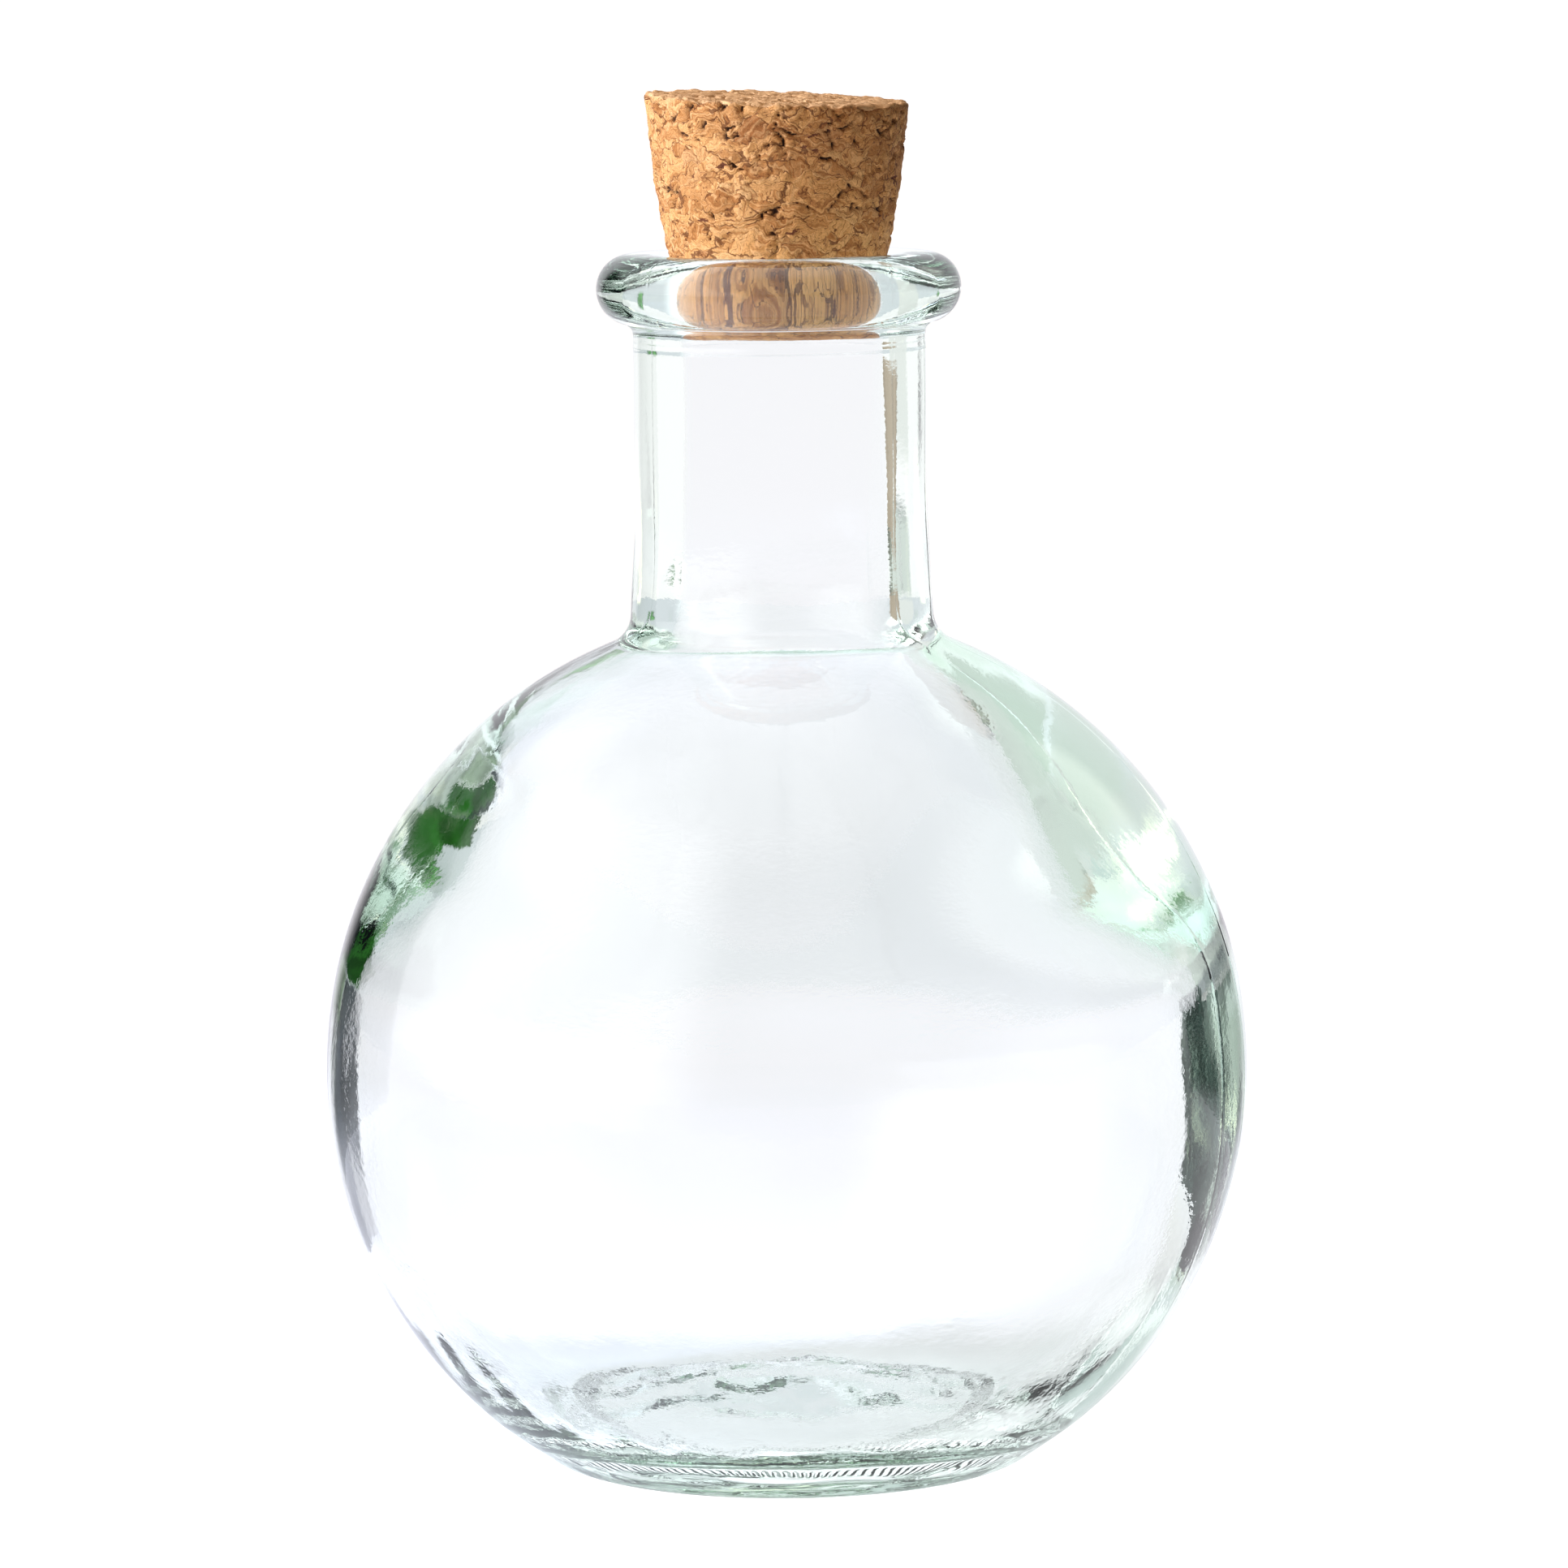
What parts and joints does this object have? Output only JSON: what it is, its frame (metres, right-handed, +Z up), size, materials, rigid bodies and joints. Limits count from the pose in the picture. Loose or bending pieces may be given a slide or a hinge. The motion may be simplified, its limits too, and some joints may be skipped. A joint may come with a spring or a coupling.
{
  "type": "round ball flask with cork",
  "caption": "Clear glass ball flask with a straight neck, a beaded lip and a flat pushed-up base, closed by a tapered agglomerated cork.",
  "frame": {"origin": "centre of the footprint, on the surface that the flask stands on", "axes": "+Z up along the axis of the ball and the neck; the top of the cork slopes down towards +X"},
  "size_m": [0.0858, 0.0858, 0.127],
  "materials": {
    "clear_glass": "clear pressed and blown soda-lime glass with a faint green tint, slightly wavy",
    "cork": "matt agglomerated cork granules, tan with brown specks and pits"
  },
  "bodies": {
    "flask": {"glass_flask": "clear_glass"},
    "stopper": {"cork_stopper": "cork"}
  },
  "joints": [
    {"name": "stopper_slide", "type": "slide", "parent": "flask", "child": "stopper", "axis": [0, 0, 1], "range_m": [0, 0.04]}
  ]
}
